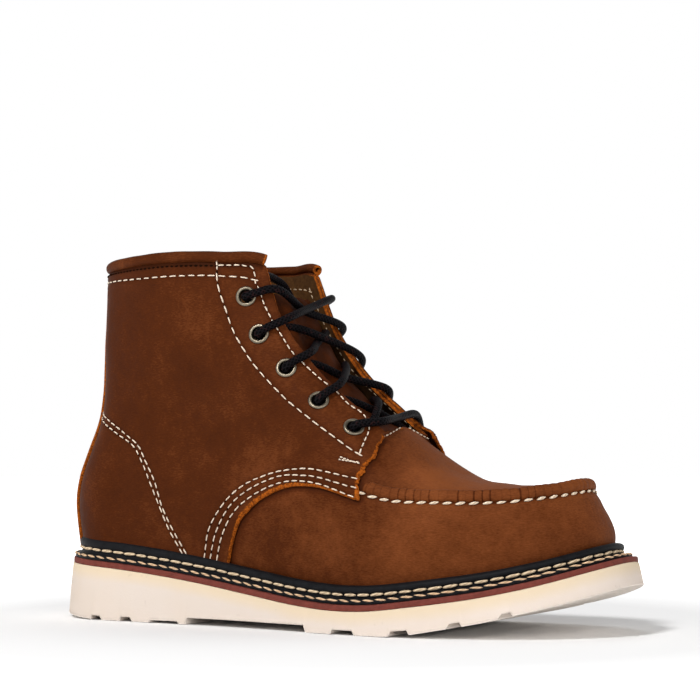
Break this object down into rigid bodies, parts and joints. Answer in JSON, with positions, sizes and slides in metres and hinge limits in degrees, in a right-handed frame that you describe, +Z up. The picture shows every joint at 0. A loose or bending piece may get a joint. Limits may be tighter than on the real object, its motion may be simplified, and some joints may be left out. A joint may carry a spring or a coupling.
{
  "type": "moc toe work boot",
  "caption": "Ankle-high laced leather work boot, right foot, with a raised moccasin toe seam, eyelets, rolled collar and a flat cream wedge sole.",
  "frame": {"origin": "on the floor under the middle of the sole", "axes": "+X towards the toe, +Y towards the inner side of the foot, +Z up"},
  "size_m": [0.3046, 0.112, 0.1823],
  "materials": {
    "brown_leather": "oiled pull-up leather, low sheen",
    "cream_foam": "matt foamed rubber",
    "red_rubber": "matt rubber",
    "black_rubber": "matt rubber, stitched",
    "tan_insole": "matt",
    "black_cord": "braided",
    "aged_metal": "aged, satin"
  },
  "bodies": {
    "root": {"upper": "brown_leather", "quarter_lateral": "brown_leather", "quarter_medial": "brown_leather", "backstay": "brown_leather", "collar_roll": "brown_leather", "moc_rim": "brown_leather", "tongue": "brown_leather", "outsole": "cream_foam", "midsole": "red_rubber", "welt": "black_rubber", "insole": "tan_insole", "lace_cross_1": "black_cord", "lace_cross_2": "black_cord", "lace_cross_3": "black_cord", "lace_cross_4": "black_cord", "eyelet_lateral_1": "aged_metal", "eyelet_lateral_2": "aged_metal", "eyelet_lateral_3": "aged_metal", "eyelet_lateral_4": "aged_metal", "eyelet_lateral_5": "aged_metal", "eyelet_medial_1": "aged_metal", "eyelet_medial_2": "aged_metal", "eyelet_medial_3": "aged_metal", "eyelet_medial_4": "aged_metal", "eyelet_medial_5": "aged_metal"}
  },
  "joints": []
}
